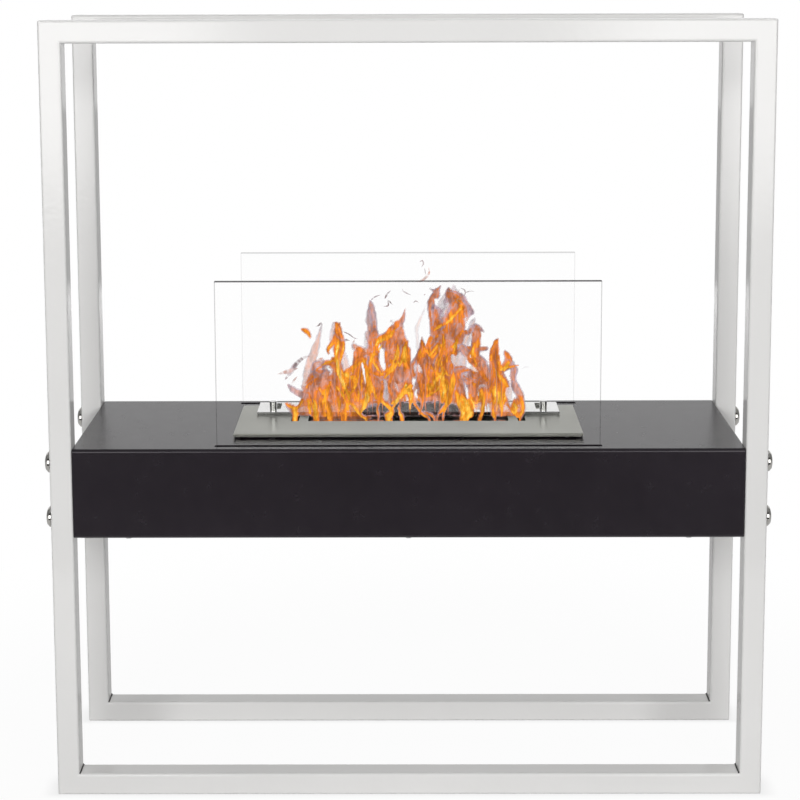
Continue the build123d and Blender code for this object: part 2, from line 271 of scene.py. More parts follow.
def flame_material():
    """Partly see-through flame: grey and mauve rims, orange body, yellow threads, uneven brightness."""
    mat, tree = new_material("flame")

    def attribute(name):
        node = tree.nodes.new("ShaderNodeAttribute")
        node.attribute_name = name
        return node.outputs["Fac"]

    def flow(across, along, distortion, detail=2.0):
        """Noise about zero that is drawn out along the flame."""
        vector = object_coords(tree, (across, 20.0, along))
        return minus(tree, noise_fac(tree, vector, 1.0, detail, 0.5, distortion), 0.5)

    def thin_lines(field, strength, width):
        return fade(tree, absolute(tree, field), strength, 0.0, 0.003, width)

    def no_cooler(heat, least):
        """Keeps the heat from falling below the least one, unless the stroke itself is cooler."""
        return largest(tree, heat, smallest(tree, warmth, least))

    warmth = attribute("warmth")
    heat = warmth
    for field, share in ((flow(40, 17, 1.6), 0.30), (flow(150, 34, 2.0), 0.14), (flow(380, 80, 1.4, 1), 0.08)):
        heat = plus(tree, heat, times(tree, field, share))
    heat = no_cooler(heat, CORE_HEAT)
    fold = thin_lines(flow(62, 21, 2.2), FOLD_DEPTH, FOLD_WIDTH)
    edge = thin_lines(flow(78, 27, 2.6), EDGE_HEAT, EDGE_WIDTH)
    heat = plus(tree, heat, minus(tree, edge, fold))
    rim = fade(tree, attribute("inside"), RIM_COOLING, 0.0, 0.0, RIM_WIDTH)
    heat = no_cooler(minus(tree, heat, rim), SMOKE_HEAT)
    colour = ramp(tree, spread(tree, heat, 0.0, 1.0, HEAT_LOW, HEAT_HIGH), *HEAT_COLOURS)
    light = plus(tree, flow(110, 30, 2.2, 3.0), times(tree, flow(46, 30, 2.4), 0.8))
    uneven = tree.nodes.new("ShaderNodeVectorMath")
    uneven.operation = "SCALE"
    fill(tree, uneven, colour, Scale=spread(tree, light, 0.60, 1.32, -0.20, 0.18))
    glow = add(tree, "Emission", Color=uneven.outputs["Vector"], Strength=1.0)
    opaque = spread(tree, attribute("cover"), 0.0, 1.0, 0.06, 0.94)
    flame = mix_shader(tree, opaque, add(tree, "BsdfTransparent"), glow)
    add(tree, "OutputMaterial", Surface=flame.outputs[0])
    mat.cycles.emission_sampling = "NONE"
    return mat


FRAME_TUBES = [f"{end}_{piece}" for end in ("front", "rear")
               for piece in ("left_post", "right_post", "top_rail", "bottom_rail")]
dress(frame_lacquer(), *FRAME_TUBES)
dress(black_coat(), "box_casing", "left_box_end", "right_box_end", "bottom_cover")
dress(plated_steel(), "left_bolt_plate", "right_bolt_plate", "left_weld_nuts", "right_weld_nuts",
      "bottom_cover_screws", "front_glass_channel", "rear_glass_channel")
dress(polished("bolt_chrome", (0.44, 0.43, 0.41), (0.56, 0.55, 0.52), 0.04, 0.09, 120.0),
      "left_side_bolts", "right_side_bolts")
dress(polished("lid_mirror", (0.70, 0.70, 0.69), (0.80, 0.80, 0.79), 0.03, 0.07, 40.0),
      "sliding_lid", "left_lid_knob", "right_lid_knob")
dress(polished("screw_steel", (0.52, 0.52, 0.52), (0.66, 0.66, 0.66), 0.15, 0.3, 200.0), "lid_knob_screws")
dress(burner_steel(), "burner_cover_plate", "burner_tank", "fuel_tray")
dress(rubber("liner_strip", (0.03, 0.03, 0.03)), "front_glass_liner", "rear_glass_liner")
dress(rubber("gasket_ring", (0.02, 0.02, 0.02)), "burner_gasket")
dress(wool(), "fuel_wool")
# The painted edge reflection is stronger on the front pane than on the rear one.
dress(clear_glass("clear_glass", "front_glass", 0.80, 0.30), "front_glass")
dress(clear_glass("clear_glass_rear", "rear_glass", 0.22, 0.10), "rear_glass")


# ---- weld seams with painted shade -------------------------------------------------------

# Cross-section of a bead in its corner, as shares of the leg; its first point lies inside the tubes.
WELD_SECTION = ((-0.3, -0.3), (1.0, -0.3), (0.42, 0.42), (-0.3, 1.0))


def weld_seams_painted_shade(name, leg, inset, steps):
    """Uneven beads in the lower inside corners of both frames, one along Y in each; their near-black colour is
    painted shade in the corners.
    """
    rng = random.Random(7)
    verts, faces = [], []
    for end in ("front", "rear"):
        rail_lo, rail_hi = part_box(f"{end}_bottom_rail")
        for side, post in ((1, f"{end}_left_post"), (-1, f"{end}_right_post")):
            post_lo, post_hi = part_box(post)
            corner_x = post_hi[0] if side > 0 else post_lo[0]
            first = len(verts)
            for step in range(steps + 1):
                y = rail_lo[1] + inset + (rail_hi[1] - rail_lo[1] - 2 * inset) * step / steps
                reach = leg * rng.uniform(0.85, 1.15)
                verts += [(corner_x + side * reach * a, y, rail_hi[2] + reach * b) for a, b in WELD_SECTION]
            for row in range(first, first + 4 * steps, 4):
                faces += [(row + i, row + (i + 1) % 4, row + 4 + (i + 1) % 4, row + 4 + i) for i in range(4)]
            last = first + 4 * steps
            faces += [(first, first + 3, first + 2, first + 1), (last, last + 1, last + 2, last + 3)]
    # The beads' near-black colour is painted shade in the inside corners.
    scale = mottled(name, ((0.012, 0.012, 0.012), (0.045, 0.044, 0.043)), (700, 3), (0.5, 0.8), (700, 3))
    obj = add_object(name, verts, faces, scale)
    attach(obj, "frame_and_box")


weld_seams_painted_shade("weld_seams_painted_shade", 0.0017, 0.0015, 12)


# ---- flames: the strokes they are painted with -------------------------------------------

def strokes(table):
    """One stroke per row: depth y, heat, cover, then x, height and half width of each point; mm.

    A cover below zero cuts a gap into what is painted before it.
    """
    rows = [[float(word) for word in row.split()] for row in table.splitlines()]
    return [(*row[:3], tuple(tuple(row[i:i + 3]) for i in range(3, len(row), 3))) for row in rows]


PALE_TONGUES = strokes("""\
12 .23 .59  -120 34 5.9  -117 54 6  -112 72 5.3  -106 91 3.4  -102 107 1.2  -101 112 .4
12 .21 .56  -87 85 3.9  -89 95 3.4  -88 105 2.4  -88 112 1.1
12 .23 .5  -74 50 5.3  -74 61 5.5  -74 70 3.2  -74 77 .5
12 .17 .42  -44 87 7.9  -46 98 5.3  -49 94 2.6
12 .11 .56  -45 95 5.3  -43 106 5  -44 117 4.7  -44 128 3.7  -44 137 1.3
12 .2 .31  12 73 1.3  11 89 2.6  10 103 2.4  13 114 2  18 125 1.2  21 134 .7  25 139 .3
12 .17 .56  59 56 9.2  59 67 9.9  62 78 6.6  67 91 5.9  71 99 3.3  75 111 3.9  78 118 1.1
12 .1 .49  43 117 9.2  43 128 10.5  48 139 9.2  54 147 5.3  54 155 1.6
12 .19 .49  115 20 6.6  117 30 5.9  120 40 3.3
12 .15 .49  9 51 6.6  10 60 7.2  11 67 3.3
12 .09 .62  -26 22 7.9  -26 34 7.9  -28 44 5.3
12 .09 .62  -14 27 7.9  -15 41 7.2  -19 51 3.9
12 .1 .56  86 27 7.9  86 37 7.9  88 44 3.3
""")
CONNECTING_BODIES = strokes("""\
7 .37 .95  -116 3 7.9  -116 18 9.2  -112 32 10.5  -100 41 11.8  -86 50 9.2  -81 60 5.3
7 .41 .95  -93 3 15.8  -92 18 15.8  -81 29 14.4  -73 43 10.5
7 .43 .95  -70 2 14.4  -69 18 14.4  -64 32 11.8  -59 47 9.2  -56 66 9.2  -57 77 6.6
7 .37 .95  -52 1 11.8  -45 16 11.8  -40 32 10.5  -42 49 9.2  -40 70 6.6  -42 91 5.8  -40 102 4.7
6 .33 .85  -35 3 6.6  -34 18 5.8  -33 32 4.7  -32 46 5.3  -34 58 6.6  -38 69 5.3
8 .27 .8  -22 17 5.3  -22 30 4.5  -21 42 4.7  -20 55 9.2  -14 68 11.8  -11 82 10.5  -13 96 7.9
8 .31 .85  -10 16 6.6  -7 27 6.6  -4 41 7.9  -5 55 10.5
7 .41 .92  -27 88 6.6  -31 95 4.7  -23 98 5.8  -15 104 5.3  -9 112 3.2  -5 119 2.1  -4 125 1.1
7 .37 .9  -1 47 6.6  -3 60 5.3  -2 73 3.9  -3 84 3.2
8 .29 .85  10 17 9.2  13 31 7.9  16 46 6.6  12 55 3.9
7 .37 .9  6 51 3.2  5 62 2.6  10 69 3.9  17 77 4.7  16 86 2.1  16 92 .8
7 .43 .95  24 23 7.9  21 38 7.9  21 55 7.9  24 71 7.9  32 84 7.9  38 95 7.9
7 .41 .95  48 18 6.6  49 31 6.6  50 46 6.6  49 58 5.3  48 70 5.3
7 .37 .92  60 -5 7.9  61 11 10.5  61 24 7.9  60 38 6.6  58 51 5.3  61 56 3.9  71 58 3.4  77 55 2.6
8 .31 .85  78 21 6.6  76 35 6.6  72 42 5.3  68 45 3.9  65 49 2.6
8 .27 .75  87 23 5.3  90 38 6.6  91 52 5.3  88 64 4.7  85 72 2.6
7 .41 .92  79 51 6.6  77 63 6.6  77 77 5.8  79 90 5.3  80 101 4.5  80 107 3.9
7 .39 .9  71 82 3.4  65 81 3.2  61 80 2.4  60 85 1.3
7 .39 .9  84 82 2.6  90 82 2.6  92 82 2.1
7 .27 .8  72 103 2.6  79 109 3.4  85 105 2.4  89 102 .8
7 .47 .95  100 -5 2.6  102 9 6.6  103 24 9.2  103 41 7.9  101 56 5.8  100 71 5.3  102 84 3.9  105 92 1.3
7 .47 .95  106 22 9.2  112 35 6.6  111 45 6.6  106 55 5.3
7 .45 .92  108 56 3.2  115 62 5.3  117 70 4.5  114 77 1.8  113 80 .5
8 .11 .72  122 64 3.2  125 56 3.4  124 45 3.4  127 34 4.7  132 23 3.9  133 13 3.2
7 .41 .92  124 -3 3.9  125 9 6.6  129 17 6.6  133 10 5.3  131 -1 3.2
8 .33 .8  111 2 5.3  114 14 5.3  113 25 3.9
6 .31 .88  -142 14 2.6  -134 8 5.3  -124 8 6.6  -116 11 7.9
6 .17 .8  -140 39 1.8  -135 33 3.7  -127 29 4.5  -117 25 5.3
6 .13 .75  -112 58 3.2  -108 64 3.9  -102 66 3.4  -100 69 1.8
6 .13 .75  -109 53 2.6  -100 47 3.9  -96 55 3.4  -98 61 2.6
7 .37 .93  32 102 6.6  33 112 7.9  32 123 4.7  28 136 3.9  31 146 3.9  36 155 1.6
7 .39 .95  52 96 11.8  56 110 10.5  60 123 7.9  65 129 6.6  60 140 7.9  49 148 5.3  47 153 1.3
7 .17 .85  64 138 3.9  71 131 3.4  75 125 2.4
7 .13 .7  65 112 1.3  69 119 1.8  73 123 1.8
7 .41 .92  60 96 3.9  67 101 2.6  71 101 1.6
""")
BODIES = strokes("""\
6 .42 .95  -105 -6 15.8  -99 8 25  -98 24 23  -99 36 21  -104 44 14.4  -111 47 6.6  -118 42 2.6
6 .4 .95  -82 -6 19.7  -79 8 19.7  -82 25 14.4  -85 42 9.2  -87 52 3.9
7 .58 .95  -75 5 9.2  -76 26 9.2  -81 47 7.9  -85 63 6.6  -82 77 7.2  -80 88 7.2  -81 99 5.3  -82 106 4.7 \
   -83 111 3.2  -86 114 .8
5 .62 .9  -93 77 1.1  -94 82 2.4  -91 86 2.6  -86 94 2.9  -84 102 2.1
6 .5 .9  -87 62 3.4  -93 66 3.9  -101 62 3.4  -108 57 1.8
6 .52 .95  -53 -3 14.4  -52 18 13.8  -54 39 12.5  -54 58 9.9  -56 70 7.9  -57 78 6  -58 83 2.6
7 .56 .9  -69 36 7.9  -71 48 7.9  -62 60 4.7  -56 69 3.9
8 .46 .95  -41 -3 11.8  -41 28 11.8  -42 52 9.2  -42 71 7.9  -41 88 6.8  -41 99 5.5  -40 105 3.7
9 .3 .85  -40 90 5.3  -40 104 3.9  -40 115 3.4  -41 124 3.9  -43 134 3.2  -44 139 1.3
7 .4 .9  -35 93 3.2  -37 99 3.4  -39 107 2.1
6 .44 .95  -15 22 13.1  -15 43 14.4  -15 63 13.1  -16 80 12.5  -16 92 9.5  -19 100 5.3
5 .6 .95  -26 96 4.5  -19 105 4.5  -13 112 3.7  -8 118 1.8  -5 125 .9  -3 132 .3
4 .72 .95  -34 79 1.1  -36 87 2.6  -32 95 3.2  -24 99 3.2
7 .34 .85  -12 42 11.8  -10 63 10.5  -7 80 8.1  -7 91 6  -8 102 3.9  -7 112 1.1
5 .56 .95  -2 50 3.9  -1 66 4.5  -1 80 3.9  -2 87 2.4  0 92 .7
7 .42 .95  17 23 7.9  19 42 9.2  20 60 10.5  17 74 7.9  17 84 4.5  16 92 1.6  16 96 .4
6 .52 .97  36 -3 5.3  37 22 14.4  36 43 19.7  36 63 18.4  39 80 19.7  40 93 15.8  43 104 14.4  47 113 13.1
6 .5 .97  54 96 9.2  58 107 8.7  59 118 10.5  59 129 11  56 138 9.2  50 145 6.6  46 150 2.1  48 156 .7
6 .44 .95  29 99 3.2  28 110 2.1  26 122 2.4  25 132 2.9  28 140 4.2  33 147 4.7  34 152 2.9  38 157 .8
5 .36 .9  33 150 2.9  29 152 1.8  26 154 .7
8 .24 .85  36 112 7.9  38 123 4.5  32 131 3.4
6 .4 .95  59 93 6.6  64 102 4.5  69 101 2.4  71 100 1.1
8 .42 .95  59 21 10.5  58 38 7.9  56 52 6.6  63 58 4.2  72 56 2.6  79 54 1.3
7 .3 .9  59 80 2.1  63 84 3.9  67 78 5.3  74 70 6.6
7 .52 .95  81 24 14.4  79 46 10.5  78 63 7.9  77 74 6.8  79 85 5.8  80 96 5.5  80 104 4.5  80 109 1.6
7 .38 .9  80 81 3.2  87 82 2.6  91 82 2.1
8 .34 .72  94 23 7.9  94 38 7.4  91 52 7.4  87 63 6  83 71 3.4
5 .62 .97  101 -6 1.8  104 8 6  107 25 9.5  109 37 10  105 51 7.4  102 63 5.8  100 74 5.5  102 84 4.7 \
   103 91 2.1  106 95 .5
6 .52 .92  109 58 3.2  116 61 4.5  119 69 3.9  115 76 2.4  113 80 .7
7 .16 .8  118 63 3.2  124 57 4.5  122 46 3.7  127 35 4.7  132 24 4.5  133 15 3.9
6 .46 .92  121 -6 3.9  125 8 7.9  130 18 6.6  134 23 2.1
5 .5 .92  -144 18 1.6  -138 13 3.2  -130 11 3.7  -124 18 2.9  -122 24 .8
6 .34 .85  -136 8 3.2  -123 8 5.3  -113 10 6.6
3 .82 .95  -133 -5 3.4  -133 4 3.7  -134 9 2.9
4 .7 .95  -123 106 1.8  -119 104 3.2  -115 100 2.4  -114 95 .5
""")
COOL_PATCHES = strokes("""\
5 .29 .75  -112 39 6.6  -100 42 7.9  -89 47 6.6  -86 39 5.3
5 .31 .6  -92 31 5.3  -84 35 6.6  -81 24 3.9
5 .27 .7  -74 24 2.6  -64 16 5.3  -51 10 5.3
5 .15 .65  -46 129 1.8  -46 118 3.4  -44 105 3.4
5 .29 .7  -63 87 2.6  -59 83 4.7  -50 80 5.3
5 .25 .6  -42 64 2.6  -39 53 3.9  -36 40 2.6
5 .27 .65  -22 83 4.7  -13 91 6.6  -11 102 5.3
5 .11 .55  -20 116 1.3  -17 110 1.8  -19 105 1.1
5 .17 .65  -14 57 3.9  -7 47 4.7  -1 55 3.4
5 .07 .55  -9 61 1.8  -5 51 2.1  -7 43 1.3
5 .29 .7  36 96 7.9  48 92 6.6  52 83 5.3
5 .25 .65  18 69 3.9  17 58 3.9  20 44 3.9
5 .31 .6  44 29 2.6  49 39 3.2  52 25 2.6
5 .29 .65  30 30 2.6  25 21 2.6
5 .09 .7  41 124 3.9  46 132 4.5  45 140 3.9
5 .07 .6  64 140 1.6  69 133 1.8  72 129 1.3
5 .15 .65  57 102 2.6  60 110 3.2
5 .11 .7  64 52 3.2  71 50 3.2  76 51 1.8
5 .1 .6  72 36 4.7  76 29 3.9
5 .1 .55  86 37 4.5  91 36 2.6
5 .27 .7  77 107 3.2  81 100 3.9  77 92 2.6
5 .31 .65  102 62 3.2  100 74 3.2  103 85 2.6
5 .17 .7  118 69 1.8  124 58 2.6  123 47 2.4
5 .29 .6  100 8 2.6  106 3 2.6
4 -.2 .42  -45 18 3.9  -32 16 5.8  -20 13 6.6  -6 12 6.6  9 12 6.6
4 -.2 .48  5 10 5.3  20 12 7.4  32 12 7.9  44 10 6.6  52 9 3.9
4 -.01 .55  -107 19 1.3  -103 13 1.8  -100 9 1.1
4 -.05 .4  -40 21 1.3  -27 21 1.6  -14 21 1.3
4 0 .6  -44 53 .8  -36 49 1.2  -30 45 1.1  -22 52 .7
4 .03 .55  -86 102 .8  -79 94 1.1  -72 93 .8
4 .05 .55  -79 52 .7  -75 39 .9  -73 27 .7
4 .07 .55  -62 60 .7  -63 49 .9  -58 39 .8  -55 28 .5
4 .05 .6  -23 62 .8  -16 67 1.1  -9 75 .8  -8 83 .5
4 .05 .6  -20 46 .8  -19 35 1.1  -15 27 .8
4 .07 .55  28 138 .7  30 124 1.1  29 110 .8
4 .07 .55  65 46 .8  73 43 1.1  81 49 .8
4 .09 .55  60 50 .7  63 39 .9  65 29 .7
4 .09 .55  18 88 .7  24 75 1.1  25 64 .7
4 .07 .6  110 53 .7  116 44 .9  118 38 .8
4 .07 .55  84 76 .5  89 70 .9  93 66 .8
""")
HOLES = strokes("""\
7 0 -1  -54 65 1.1  -52 55 1.6  -50 44 1.4  -49 34 .8
7 0 -1  -30 78 1.3  -31 70 2.9  -29 62 2.6  -27 55 .7
7 0 -.75  -27 44 1.8  -26 36 2.6  -26 26 3.2  -25 22 2.1
7 0 -.7  -16 42 1.1  -14 37 1.8  -11 32 1.3
7 0 -.8  -93 59 1.6  -90 56 1.8  -92 52 1.1
7 0 -.7  -104 16 1.1  -101 12 1.3  -99 8 .8
7 0 -.8  -20 114 .7  -17 112 .8
7 0 -1  -90 80 1.8  -88 74 1.3
7 0 -1  32 141 1.8  35 137 3.2  39 133 2.1
7 0 -.6  38 119 1.3  42 126 1.8  46 136 2.1
7 0 -1  52 74 2.1  56 68 5.3  61 70 5.8  65 66 4.7  71 62 2.1
7 0 -.7  71 62 3.2  77 58 2.6  81 55 1.1
7 0 -1  12 63 1.1  14 57 2.6  16 54 1.3
7 0 -.85  69 35 1.1  69 28 1.8  70 24 1.1
7 0 -.6  84 37 2.1  90 38 2.1  92 34 1.1
7 0 -1  81 35 .5  82 28 1.1  82 26 .7
7 0 -1  114 53 .8  117 48 1.8  120 41 1.3
7 0 -.8  117 34 2.6  116 27 2.4  118 23 .8
7 0 -.9  10 33 .8  9 27 1.6  11 23 .8
7 0 -.9  73 73 1.3  75 77 .5
7 0 -.8  68 118 1.8  69 110 2.1  71 115 1.3
7 0 -1  90 74 1.8  92 77 1.8  94 72 1.3
""")
# Foot of the flame: cuts that make it see-through, and a dark, half see-through patch painted over its middle
# as shade.
SEE_THROUGH_BASE_AND_PAINTED_SHADE = strokes("""\
7 0 -.25  -124 6 7  -60 8 9  60 8 9  130 8 7
7 0 -.66  -50 7 5  -32 10 8  0 10 8  34 10 8  62 8 6
7 -.52 .56  -50 7 5  -32 10 8  0 10 8  34 10 8  62 8 6
7 0 -.88  -118 -1.4 2.6  0 -1.4 2.6  118 -1.4 2.6
7 .36 .27  -106 -.5 2.4  -86 0 3  -46 -.5 2.6
""")
THREADS = strokes("""\
2 .94 .97  31 105 .6  39 110 1  47 114 1  54 122 1.1  61 130 1.4
2 .91 .95  53 79 .9  55 85 2  57 94 .6
1 .76 .9  26 74 .9  30 82 1.4  37 92 .7
1 .7 .9  27 73 1.1  21 82 1.3  17 92 .6
1 .72 .9  32 48 2.2  35 64 2.2  40 81 2  42 97 .7
0 .86 .9  22 26 .7  27 30 2  31 44 2.7  40 55 2.2  48 51 1.1
0 .74 .92  34 0 .7  40 10 2  47 19 2.9  49 29 3.1  52 41 3.3  53 52 2
-1 .82 .9  40 20 1.8  44 33 4.5  40 48 3.8  32 57 2.2  27 62 .9
1 .84 .9  74 73 .9  76 77 1.8  77 82 .6
1 .88 .92  105 74 .4  107 66 1.3  109 58 1.8
2 .9 .9  129 63 .4  115 60 1.3  112 58 1.5
-2 .8 .94  67 -2 3.3  72 8 5.3  67 17 5  60 25 2.9  56 31 .9
-2 .74 .92  84 -2 1.5  87 9 2  88 23 2.2  85 34 2
-1 .62 .92  76 10 1.3  74 17 2  72 24 .9
-3 .76 .92  31 -2 1  27 4 1.3  19 8 .7
-3 .78 .92  25 -2 1.1  17 5 1.5  8 17 1.5  5 24 .6
-2 .59 .92  13 5 .7  16 14 1.2  16 30 1.5  13 43 1.1
-2 .88 .95  2 13 .4  3 24 2.4  1 35 3.8  -2 39 2.7
-3 .8 .94  -20 18 .9  -12 24 2.4  -5 33 3.1  3 40 2.9
-4 .82 .94  -7 -2 2.2  -10 7 1.4  -11 16 .4
-4 .86 .95  -23 -2 3.3  -19 8 2.7  -23 15 2.7  -29 20 2.2  -32 28 .6
-4 .8 .94  -49 -2 .9  -55 4 1.3  -62 12 1.5  -68 19 .9
-3 .82 .92  -56 7 .9  -50 19 2.9  -47 30 2.7  -49 41 1.1
-3 .63 .92  -35 2 .8  -36 13 1.2  -32 26 1.7  -30 38 1.7  -32 49 .9
-3 .53 .9  -17 23 1.1  -22 37 1.5  -20 49 1.5  -16 57 .9
1 .86 .92  -34 50 .9  -27 56 1.5  -20 60 1.7  -16 70 1.4  -12 81 1.2  -12 88 .4
2 .57 .9  -46 56 1.1  -38 53 2  -27 52 2  -19 58 1.5
2 .8 .92  -43 31 .9  -46 42 1.8  -48 53 1.8  -44 67 2.2  -40 78 1.5
2 .82 .92  -69 23 1.1  -74 37 2  -80 51 2.2  -82 63 1.8  -84 71 .9
2 .76 .9  -68 29 1.1  -62 40 2.2  -65 48 2.7  -74 52 2  -80 58 .9
1 .7 .9  -99 19 1.8  -95 32 2.4  -96 40 1.1
0 .62 .9  -98 4 2.2  -102 16 2.9  -103 25 1.3
-2 .74 .92  -108 1 2.9  -110 11 2.4  -113 20 1.5  -117 31 .7
-2 .7 .92  -92 1 2.7  -93 10 2.7  -95 20 1.1
-2 .72 .92  -76 1 2.9  -74 10 2.2  -69 19 1.3
-1 .78 .92  -84 38 .7  -76 28 1.5  -72 18 1.5  -70 10 .9
1 .82 .92  -50 32 .9  -48 44 1.8  -49 58 1.5  -51 70 .9
1 .8 .92  -10 63 1.1  -6 74 2.7  -4 85 1.5
-3 .76 .94  102 -3 1.1  100 5 1.8  99 15 1.3
-3 .78 .94  126 -2 1.3  122 9 1.5  116 17 .9
-4 .72 .94  130 -2 1.3  134 9 2  134 19 1.5  130 26 .7
-3 .7 .92  124 -1 1.5  122 12 2.2  124 23 1.1
2 .96 .95  32 106 .7  38 111 1  46 115 1  53 122 1.1  59 128 1.3
1 .88 .9  25 75 .9  30 81 1.3  36 89 .7
1 .8 .9  41 103 .9  42 89 1.5  44 78 1.3  45 67 .9
1 .86 .9  34 64 .9  36 74 1.3  38 82 .9
1 .92 .9  25 29 1.1  32 33 1.8  38 41 2  41 54 1.8  38 64 .9
1 .84 .9  30 56 1.1  29 45 1.8  34 37 1.8
1 .86 .9  52 85 1.1  56 90 1.8  57 96 .7
1 .82 .9  41 1 .7  44 12 1.3  45 26 1.3  49 37 .7
0 .88 .92  62 -3 1.5  64 7 2.7  60 17 2.7  58 25 1.5
0 .86 .92  69 -3 1.5  72 7 2.2  68 17 2  65 24 .9
1 .9 .9  77 77 .9  76 82 1.3  78 88 .7
1 .62 .8  84 64 1.1  87 53 2.4  92 45 2.2
1 .9 .92  106 74 .9  107 64 1.8  112 59 2.7  117 66 2.2
1 .82 .9  105 52 1.3  112 44 2.4  117 38 1.1
1 .86 .9  106 30 1.5  108 19 2  110 11 1.5  109 2 .9
0 .9 .9  120 12 .9  124 7 1.5  127 12 1.3  123 19 .7
0 .86 .9  84 -3 1.8  86 6 1.5  88 14 1.3  87 24 .7
0 .88 .92  2 40 2  3 29 2.9  2 18 1.5  2 11 .7
0 .86 .92  2 37 1.8  -5 32 2  -12 22 1.8  -17 14 1.1
0 .88 .92  -30 20 1.1  -24 14 1.8  -19 8 1.8  -25 4 2.2  -24 -2 1.8
0 .9 .92  -22 4 1.1  -20 -2 1.5
1 .88 .9  -38 87 .9  -33 92 1.8  -28 95 1.5
1 .86 .9  -28 48 1.1  -22 55 1.5  -15 62 1.5  -12 72 1.1  -11 81 .7
1 .8 .9  -4 65 .9  -3 74 1.3  -5 82 .7
1 .82 .9  -39 78 1.1  -42 70 1.8  -35 59 1.3  -30 52 .9
1 .84 .9  -48 54 .9  -44 43 1.5  -40 32 1.3  -38 24 .7
1 .88 .9  -83 70 1.1  -82 56 1.8  -77 44 2  -72 32 1.5  -70 21 .9
1 .8 .9  -74 51 .9  -64 50 1.3  -59 43 1.1
1 .78 .9  -67 56 1.1  -62 62 1.5  -56 67 1.1
1 .82 .9  -104 36 1.1  -98 30 2.2  -93 37 1.8  -91 44 .9
1 .76 .9  -96 24 1.3  -97 14 1.3  -93 6 .9
0 .8 .9  -110 5 1.1  -108 16 1.5  -112 24 .9
0 .92 .92  -54 10 .9  -50 18 2.2  -47 25 1.5  -48 32 .7
0 .76 .9  -81 10 1.1  -81 21 1.5  -85 29 .9
0 .82 .92  -143 18 1.1  -136 14 2  -129 14 1.8  -125 22 .9
-1 .91 .92  -133 -2 2.2  -132 6 2.4  -133 12 1.3
0 .82 .9  -117 22 1.1  -116 13 1.8  -115 5 1.1
2 .82 .9  -94 80 .9  -93 85 1.5  -90 88 1.5
2 .76 .9  -80 114 .9  -80 107 1.8  -79 103 1.1
1 .86 .9  -8 -1 1.3  -10 7 1.1  -12 12 .7
""")
WISPS = strokes("""\
7 .19 .8  -110.9 52.3 2.6  -110.2 60.5 3.4  -104.1 68.1 2.4  -100 71.5 1.1
6 .15 .8  -110.9 51.2 1.6  -102.9 45.6 2.9  -93.4 48.4 3.2  -88.6 58 2.4  -94.7 60.8 1.8
8 .17 .7  -61.6 79.4 3.4  -64.7 84.9 2.1  -63.9 90.4 1.1  -61.5 94.5 .4
8 .17 .8  5.2 65.6 1.6  2.7 57.3 2.1  6.5 49.1 3.2  14.6 50.4 2.6  17.3 57.3 1.6
7 .27 .85  5.2 66.5 .8  11.9 71.3 3.2  18.6 76.8 3.9
7 .21 .85  56.2 141 3.9  65.6 137.6 3.4  71.6 130.7 2.9  75 125.3 2.1  73 121.9 .8
7 .17 .75  75 125.3 1.6  70.3 120.5 1.6  67.6 112.3 1.1
7 .23 .85  71.7 103 .7  76.4 106.1 2.4  82.4 107.5 3.2  86.5 103.4 1.6  88.5 101 .4
9 .07 .5  87.3 61.1 1.1  91.4 66.6 1.6  96.1 64.5 .8
6 .21 .7  114 76.8 .7  118.7 72.7 1.1  122.4 66.9 .5
6 .13 .8  -142 39.9 1.3  -136.7 34 3.4  -128.6 29.1 3.9  -117.9 24.3 4.5
6 .17 .85  -136.9 40.9 1.3  -133.6 45.4 1.2  -129.8 49.8 .4
6 .17 .85  -153.7 52.3 .5  -147.2 53.7 1.8  -138.5 56 2.6  -129.4 59.2 .7
8 -.14 .85  -144.8 45.2 .7  -137.9 54.8 2.9  -131.1 64.5 2.6  -123 71.3 1.8  -115.5 73.4 .8
6 .19 .85  -126.5 38.8 .5  -121.8 35.3 2.1  -116.5 30.5 2.1
7 -.14 .85  -108.4 109.2 .4  -104.4 110.6 1.1  -101.4 113.7 1.1  -100.4 109.9 1.1
7 -.14 .85  -75.6 102.7 .7  -68.9 99.6 .7  -63.5 95.5 .5  -58.4 94.5 .3
7 -.14 .85  -77 92.1 1.6  -72.3 92.7 1.2  -68.3 91.4 .4
8 -.14 .85  -43.4 139.6 1.1  -38.5 143.4 .9  -31.7 145.9 .3
8 -.14 .85  -27.1 141.6 1.3  -24.4 147.1 1.1  -19.7 151.8 .3
8 -.14 .85  -28.7 132.8 .5  -23.1 133.8 .9  -23.3 139.6 .8  -20.4 137.5 .8  -17.7 134.1 .5
6 .23 .92  9.4 162.1 .5  16.1 163.6 1.4  21.7 168.2 1.6  24.8 173.2 1.1  24.1 179.3 .3
7 -.14 .85  13.4 185.2 .7  16.8 187 .9  18.1 183.2 .8  15.8 179.4 .5
8 -.14 .85  19.4 178.9 .3  20.1 173.5 .5  20.4 170.1 .3
8 -.14 .85  -6.7 153.4 .7  -5.6 150.4 .8  -1.4 148 .9  3.7 145.7 .4
8 .11 .8  18.7 145.6 1.1  20.1 147 1.1
8 -.14 .85  6 136.5 .5  9.1 139.2 .8  12.3 137.1 .4
8 -.14 .85  60.5 154.4 .4  65.6 152.3 .9  67 148.9 .8  65.6 144.6 1.1
8 -.14 .85  67 148.2 .7  71.6 150.3 .5  77.7 150 .3
8 -.14 .85  57.9 144.9 .7  58.9 148.9 .7  60.3 152.3 .3
9 -.02 .25  131.8 56.6 .3  137.8 59.6 .7  143.4 58.9 .3
8 -.14 .85  120.5 3.3 1.1  121.2 10.2 1.6  123.8 17.1 1.1
""")
